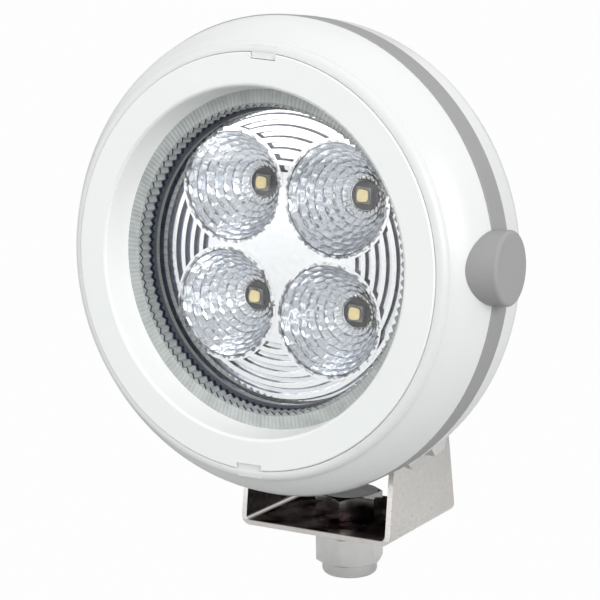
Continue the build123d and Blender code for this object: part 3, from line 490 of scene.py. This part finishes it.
nodeFinish = {
    "bezel_ring": "bezelPlastic", "front_shell": "shellPlastic", "rear_shell": "shellPlastic",
    "trim_band": "bandPlastic", "side_cap": "bandPlastic",
    "lens": "lensPlastic", "lens_gasket": "sealRubber", "reflector": "mirrorCoat",
    "led_board": "boardMask", "led_bases": "ceramicWhite", "led_chips": "phosphor",
    "led_domes": "domeSilicone", "board_screws": "washerSteel", "thermal_pad": "padRubber",
    "lamp_housing": "castCoat", "driver_board": "driverBoard", "driver_coil": "coilWinding",
    "driver_capacitors": "capSleeve", "driver_chips": "chipResin", "link_pins": "pinBrass",
    "terminal_block": "terminalPlastic", "housing_screws": "washerSteel", "gland_body": "glandNylon",
    "gland_seal": "sealRubber", "gland_cap": "glandNylon", "bracket": "bracketSteel",
    "pivot_bolts": "boltSteel", "pivot_spring_washers": "washerSteel", "pivot_flat_washers": "washerSteel",
    "mounting_bolt": "shadedHeadSteel", "mounting_washer": "washerSteel", "mounting_spring_washer": "washerSteel",
    "mounting_nut": "boltSteel", "nut_lock_ring": "lockNylon",
}
for nodeName, finishName in nodeFinish.items():
    part = nodes[nodeName]
    part.data.materials.clear()
    part.data.materials.append(finishes[finishName])
print("frame nodes finished:", len(nodeFinish))


# reflector cups: a skin of small tilted facets just inside each parabola
def cupSlope(radius):
    return 2 * radius * cupSet["depth"] / (cupSet["mouth"] ** 2 - cupSet["throat"] ** 2)


def makeCupSkins():
    mouth, throat, depth, fine = cupSet["mouth"], cupSet["throat"], cupSet["depth"], cupSet["fine"]
    steps = cupSet["rows"] * fine
    inset, stride = cupSet["inset"], cupSet["step"]
    radii = [mouth - inset]  # even steps along the curve, from the mouth down to the throat
    length = 0.0
    table = [(0.0, mouth - inset)]
    while table[-1][1] > throat + 2 * inset:
        radius = table[-1][1] - stride
        length += stride * math.sqrt(1 + cupSlope(radius) ** 2)
        table.append((length, radius))
    for step in range(1, steps + 1):
        want = length * step / steps
        radii.append(next(r for run, r in table if run >= want - 1e-9))
    noise.seed_set(cupSet["seed"])  # without it the facets lean differently in each run
    bm = bmesh.new()
    borders = []  # one value per corner: how far it lies on the line between two facets
    spread = cupSet["spread"]
    for index, (cx, cz) in enumerate(cupCentres()):
        rings = []
        for step, radius in enumerate(radii):
            row = step // fine
            across = (step % fine) / fine
            slope = cupSlope(radius)
            norm = math.sqrt(1 + slope * slope)
            ring = []
            for spot in range(cupSet["around"] * fine):
                shifted = spot + (fine // 2) * (row % 2)
                along = (shifted % fine) / fine
                cell = (shifted // fine) % cupSet["around"]
                facet = Vector((cell * spread[0], row * spread[1], index * spread[2]))
                odd, lean, pitch = noise.noise_vector(facet)
                swell = cupSet["dome"] * (1 + cupSet["drift"] * odd)
                swell += cupSet["tilt"] * (lean * (along - 0.5) + pitch * (across - 0.5))
                profile = math.sin(math.pi * along) * math.sin(math.pi * across)
                rise = cupSet["skin"] + max(swell, 0) * max(profile, 0) ** cupSet["square"]
                r = radius - rise * slope / norm
                deep = depth * (mouth ** 2 - radius ** 2) / (mouth ** 2 - throat ** 2) - rise / norm
                turn = 2 * math.pi * spot / (cupSet["around"] * fine)
                back = lampPlace["faceY"] + cupSet["mouthDepth"] + max(deep, inset)
                up = lampPlace["axisZ"] + cz + r * math.sin(turn)
                ring.append(bm.verts.new((cx + r * math.cos(turn), back, up)))
                onRow = 1.0 if step % fine == 0 else 0.0
                onSide = cupSet["sideBorder"] if shifted % fine == 0 else 0.0
                borders.append(max(onRow, onSide))
            rings.append(ring)
        for upper, lower in zip(rings, rings[1:]):
            for spot in range(len(upper)):
                after = (spot + 1) % len(upper)
                bm.faces.new((upper[spot], upper[after], lower[after], lower[spot]))
    bmesh.ops.recalc_face_normals(bm, faces=bm.faces)
    mesh = bpy.data.meshes.new("cupSkins")
    bm.to_mesh(mesh)
    bm.free()
    mesh.shade_smooth()
    mesh.attributes.new("border", "FLOAT", "POINT").data.foreach_set("value", borders)
    mesh.materials.append(finishes["cupCoat"])
    skins = bpy.data.objects.new("cupSkins", mesh)
    bpy.context.scene.collection.objects.link(skins)
    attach(skins, "lamp_head")


makeCupSkins()
print("reflector cups lined")

# fine edge rounding on the hard parts
edgeSet = {
    "bracket": 0.0002, "mounting_bolt": 0.00025, "mounting_nut": 0.00025, "mounting_washer": 0.00012,
    "mounting_spring_washer": 0.00012, "pivot_bolts": 0.0002, "pivot_flat_washers": 0.00012,
    "pivot_spring_washers": 0.00012, "bezel_ring": 0.0001, "lamp_housing": 0.0003,
    "gland_body": 0.0003, "housing_screws": 0.00015,
}
edgeAngle = 35  # degrees; only edges sharper than this are rounded
edgeSteps = 2


def roundEdges():
    for nodeName, width in edgeSet.items():
        part = nodes[nodeName]
        bevel = part.modifiers.new("edges", "BEVEL")
        bevel.width = width
        bevel.segments = edgeSteps
        bevel.limit_method = "ANGLE"
        bevel.angle_limit = math.radians(edgeAngle)
        bevel.harden_normals = False


roundEdges()
print("edges rounded:", len(edgeSet))

# studio: pale floor, soft lights, white backdrop for what is seen directly
studio = {
    "floorSize": 3.0, "floorWhite": 0.38, "floorMirrored": 0.96, "floorRough": 0.9,
    "ambient": 0.82, "backdrop": 0.986,
    # painted shadow: darker floor behind and left of the lamp, only as metal mirrors it
    "shadeDeep": 0.3, "shadeLean": -1.2, "shadeFrom": 0.02, "shadeTo": 0.15,
    # what metal mirrors of the room: pale above, dark low down and behind, a few dark blue gaps
    "skyTop": (1.0, 1.0, 1.0), "skyLow": (0.035, 0.03, 0.035),
    "skyLean": 0.50, "skyFrom": -0.22, "skyTo": 0.04,
    "gapTint": (0.03, 0.035, 0.07), "gapScale": 2.3, "gapFrom": 0.60, "gapTo": 0.66,
    "lampAim": (0, -0.02, 0.06),
    "keyPlace": (1.5, -0.8, 0.55), "keySize": 0.9, "keyWatts": 16.0,
    "fillPlace": (-1.0, -1.2, 0.5), "fillSize": 1.0, "fillWatts": 5.2,
    "topPlace": (0.0, 0.2, 1.5), "topSize": 1.0, "topWatts": 0.3,
}


def makeFloor():
    low = cadBox[0][2]
    size = studio["floorSize"]
    mesh = bpy.data.meshes.new("floor")
    corners = [(-size, -size, low), (size, -size, low), (size, size, low), (-size, size, low)]
    mesh.from_pydata(corners, [], [(0, 1, 2, 3)])
    floor = bpy.data.objects.new("floor", mesh)
    bpy.context.scene.collection.objects.link(floor)
    mat, tree, shader, coords = newFinish("floorPaper")
    white = studio["floorWhite"]
    shader.inputs["Roughness"].default_value = studio["floorRough"]
    glow = tree.nodes.new("ShaderNodeEmission")
    path = tree.nodes.new("ShaderNodeLightPath")
    glow.inputs["Strength"].default_value = studio["backdrop"]
    pale, deep = studio["floorMirrored"], studio["shadeDeep"]
    split = addSplit(tree, coords)
    lean = addMath(tree, "MULTIPLY", split["X"], studio["shadeLean"])
    behind = addMath(tree, "ADD", split["Y"], lean)
    # painted shadow of the lamp, seen only in what metal mirrors
    shade = addRange(tree, behind, 0, 1, studio["shadeFrom"], studio["shadeTo"])
    mirrored = addMix(tree, shade, (pale, pale, pale), (deep, deep, deep))
    paper = addMix(tree, path.outputs["Is Glossy Ray"], (white, white, white), mirrored)
    tree.links.new(paper, shader.inputs["Base Color"])
    mixed = addShaderMix(tree, path.outputs["Is Camera Ray"], shader.outputs[0], glow.outputs[0])
    tree.links.new(mixed, tree.nodes["Material Output"].inputs["Surface"])
    mesh.materials.append(mat)


def makeLamp(name):
    lamp = bpy.data.lights.new(name + "Light", "AREA")
    lamp.shape = "SQUARE"
    lamp.size = studio[name + "Size"]
    lamp.energy = studio[name + "Watts"]
    holder = bpy.data.objects.new(name + "Light", lamp)
    holder.location = studio[name + "Place"]
    aim = Vector(studio["lampAim"]) - Vector(studio[name + "Place"])
    holder.rotation_euler = aim.to_track_quat("-Z", "Y").to_euler()
    bpy.context.scene.collection.objects.link(holder)


def addBackdrop(tree, strength):
    node = tree.nodes.new("ShaderNodeBackground")
    node.inputs["Color"].default_value = (1, 1, 1, 1)
    node.inputs["Strength"].default_value = strength
    return node.outputs[0]


# plain white for light, the sky for what metal mirrors, the backdrop for what is seen directly
def makeWorld():
    world = bpy.data.worlds.new("studioWorld")
    bpy.context.scene.world = world
    world.use_nodes = True
    tree = world.node_tree
    tree.nodes.clear()
    out = tree.nodes.new("ShaderNodeOutputWorld")
    path = tree.nodes.new("ShaderNodeLightPath")
    coords = tree.nodes.new("ShaderNodeTexCoord").outputs["Generated"]
    split = addSplit(tree, coords)
    lean = addMath(tree, "MULTIPLY", split["Y"], studio["skyLean"])
    leaned = addMath(tree, "SUBTRACT", split["Z"], lean)
    height = addRange(tree, leaned, 0, 1, studio["skyFrom"], studio["skyTo"])
    clouds = addNoise(tree, coords, studio["gapScale"], 1.0)
    gaps = addRange(tree, clouds, 0, 1, studio["gapFrom"], studio["gapTo"])
    sky = tree.nodes.new("ShaderNodeBackground")
    upper = addMix(tree, gaps, studio["skyTop"], studio["gapTint"])
    tree.links.new(addMix(tree, height, studio["skyLow"], upper), sky.inputs["Color"])
    plain = addBackdrop(tree, studio["ambient"])
    indirect = addShaderMix(tree, path.outputs["Is Glossy Ray"], plain, sky.outputs[0])
    direct = addMath(tree, "MAXIMUM", path.outputs["Is Camera Ray"], path.outputs["Is Transmission Ray"])
    mixed = addShaderMix(tree, direct, indirect, addBackdrop(tree, studio["backdrop"]))
    tree.links.new(mixed, out.inputs["Surface"])


makeFloor()
makeWorld()
for lampName in ("key", "fill", "top"):
    makeLamp(lampName)
print("studio ready")

# camera, from the outlines of the photographed rings: angles in degrees, lengths in metres
cameraSet = {"turn": 31.38, "rise": 8.14, "roll": -0.73, "distance": 0.420, "centreZ": 0.060,
             "right": -0.01322, "up": 0.00216, "nearest": 0.01,
             "film": 36.0,  # width in mm
             "pixels": 1511.91, "picture": 600}  # focal length and picture width, both in pixels


def makeCamera():
    turn = math.radians(cameraSet["turn"])
    rise = math.radians(cameraSet["rise"])
    roll = math.radians(cameraSet["roll"])
    back = Vector((math.sin(turn) * math.cos(rise), -math.cos(turn) * math.cos(rise), math.sin(rise)))
    flat = Vector((math.cos(turn), math.sin(turn), 0))
    tall = back.cross(flat)
    across = math.cos(roll) * flat + math.sin(roll) * tall
    upward = -math.sin(roll) * flat + math.cos(roll) * tall
    place = Vector((0, 0, cameraSet["centreZ"])) + back * cameraSet["distance"]
    place = place + across * cameraSet["right"] + upward * cameraSet["up"]
    camera = bpy.data.cameras.new("photoCamera")
    camera.lens = cameraSet["pixels"] * cameraSet["film"] / cameraSet["picture"]
    camera.sensor_width = cameraSet["film"]
    camera.clip_start = cameraSet["nearest"]
    holder = bpy.data.objects.new("photoCamera", camera)
    bpy.context.scene.collection.objects.link(holder)
    turnTo = Matrix((across, upward, back)).transposed()
    holder.matrix_world = Matrix.Translation(place) @ turnTo.to_4x4()
    bpy.context.scene.camera = holder


makeCamera()
bpy.context.scene.view_settings.view_transform = "Standard"
print("camera set")
